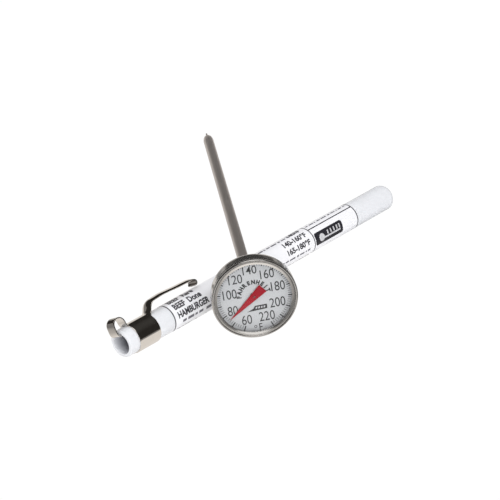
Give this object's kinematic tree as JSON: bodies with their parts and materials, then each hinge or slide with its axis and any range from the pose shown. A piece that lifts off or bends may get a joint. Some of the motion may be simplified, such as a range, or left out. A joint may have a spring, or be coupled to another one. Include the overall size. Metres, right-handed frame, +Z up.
{
  "type": "dial thermometer",
  "caption": "Pocket dial thermometer with a thin steel stem and a round dial, lying across its capped tube sheath with a spring clip.",
  "frame": {"origin": "centre of the bounding box's bottom, on the table the thermometer and its sheath lie on", "axes": "+Y along the sheath from its mouth to its closed end, +Z up; the stem heads 48.65 degrees to the left of +Y seen from above, and dips 5.1 degrees"},
  "size_m": [0.1104, 0.135, 0.0277],
  "materials": {
    "bezel_steel": "satin stainless, spun",
    "case_steel": "satin stainless, drawn",
    "stem_steel": "satin stainless, centreless ground",
    "nut_steel": "turned stainless",
    "lens_clear": "clear polycarbonate",
    "gasket_rubber": "matte",
    "ring_aluminium": "bright",
    "dial_paint": "printed, fine matte grain",
    "support_plastic": "moulded",
    "pointer_red": "satin enamel",
    "hub_brass": "turned",
    "spindle_steel": "drawn wire",
    "bimetal": "rolled strip",
    "bush_brass": "turned",
    "spring_steel": "spring temper",
    "sheath_plastic": "moulded, slightly glossy",
    "label_film": "white printed film",
    "clip_nickel": "nickel plated, bright"
  },
  "bodies": {
    "stem": {"calibration_nut": "nut_steel", "stem_tube": "stem_steel", "tip_plug": "stem_steel", "upper_guide_bush": "bush_brass", "lower_guide_bush": "bush_brass", "helix_anchor": "bush_brass", "bimetal_helix": "bimetal", "friction_washer": "spring_steel", "retaining_collar": "bush_brass"},
    "head": {"bezel_ring": "bezel_steel", "lens": "lens_clear", "lens_gasket": "gasket_rubber", "dial_retainer_ring": "ring_aluminium", "dial_plate": "dial_paint", "dial_support_ring": "support_plastic", "case_cup": "case_steel"},
    "pointer": {"pointer": "pointer_red", "pointer_hub": "hub_brass", "spindle": "spindle_steel", "helix_collar": "bush_brass"},
    "sheath": {"sheath_tube": "sheath_plastic", "label_sleeve": "label_film", "pocket_clip": "clip_nickel"}
  },
  "joints": [
    {"name": "pointer_turn", "type": "hinge", "parent": "stem", "child": "pointer", "pos_m": [0.04466, -0.02693, 0.01381], "axis": [-0.7477, 0.658, -0.0889], "range_deg": [-29.6, 286], "deforming": ["bimetal_helix"]},
    {"name": "calibration_turn", "type": "hinge", "parent": "stem", "child": "head", "pos_m": [0.04242, -0.02496, 0.01354], "axis": [-0.7477, 0.658, -0.0889], "continuous": true},
    {"name": "sheath_draw", "type": "slide", "parent": "stem", "child": "sheath", "axis": [0, -1, 0], "range_m": [0, 0.12]}
  ]
}
